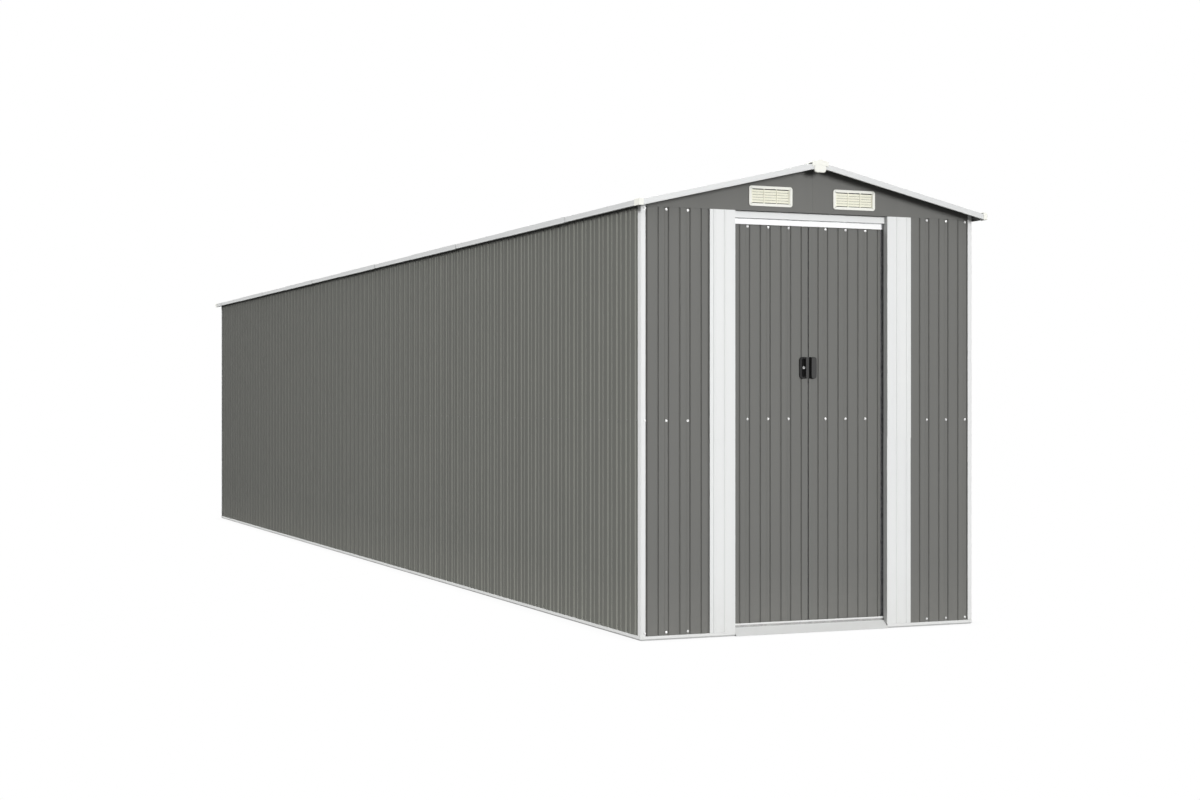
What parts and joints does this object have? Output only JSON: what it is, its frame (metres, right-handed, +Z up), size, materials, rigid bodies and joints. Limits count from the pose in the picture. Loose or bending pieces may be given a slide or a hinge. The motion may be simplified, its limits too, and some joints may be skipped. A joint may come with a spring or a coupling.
{
  "type": "metal storage shed",
  "caption": "Long, narrow steel shed of grooved sheets with a low gable roof, white trims, louvred gable vents and a pair of sliding doors in one end.",
  "frame": {"origin": "on the ground, under the middle of the roof", "axes": "+Z up, +Y from the door end to the back, +X across to the right as seen from the doors"},
  "size_m": [1.86, 9.9466, 2.23],
  "materials": {
    "grey_paint": "satin",
    "white_paint": "satin",
    "bare_steel": "galvanised",
    "cream_plastic": "matt",
    "black_plastic": "matt"
  },
  "bodies": {
    "shell": {"base_rail_left": "white_paint", "base_rail_right": "white_paint", "base_rail_back": "white_paint", "base_rail_front": "white_paint", "corner_post_front_left": "white_paint", "corner_post_front_right": "white_paint", "corner_post_back_left": "white_paint", "corner_post_back_right": "white_paint", "left_wall": "grey_paint", "right_wall": "grey_paint", "back_wall": "grey_paint", "front_wall_left": "grey_paint", "front_wall_right": "grey_paint", "door_jamb_left": "white_paint", "door_jamb_right": "white_paint", "mid_rails_sides": "bare_steel", "mid_rails_ends": "bare_steel", "top_rails_sides": "bare_steel", "top_rails_ends": "bare_steel", "door_header": "white_paint", "door_top_track": "bare_steel", "door_bottom_track": "bare_steel", "door_sill": "white_paint", "gable_front": "grey_paint", "gable_back": "grey_paint", "vents_front": "cream_plastic", "vents_back": "cream_plastic", "ridge_beam": "bare_steel", "roof_trusses": "bare_steel", "roof_left": "grey_paint", "roof_right": "grey_paint", "ridge_cap": "white_paint", "ridge_end_caps": "cream_plastic", "eave_trim_left": "white_paint", "eave_trim_right": "white_paint", "eave_corner_caps": "cream_plastic", "verge_trim_front": "white_paint", "verge_trim_back": "white_paint"},
    "left_door": {"left_door_sheet": "grey_paint", "left_door_frame": "bare_steel", "left_door_glides": "black_plastic", "left_door_pull": "black_plastic"},
    "right_door": {"right_door_sheet": "grey_paint", "right_door_frame": "bare_steel", "right_door_glides": "black_plastic", "right_door_pull": "black_plastic"}
  },
  "joints": [
    {"name": "left_door_slide", "type": "slide", "parent": "shell", "child": "left_door", "axis": [-1, 0, 0], "range_m": [0, 0.35]},
    {"name": "right_door_slide", "type": "slide", "parent": "shell", "child": "right_door", "axis": [1, 0, 0], "range_m": [0, 0.35]}
  ]
}
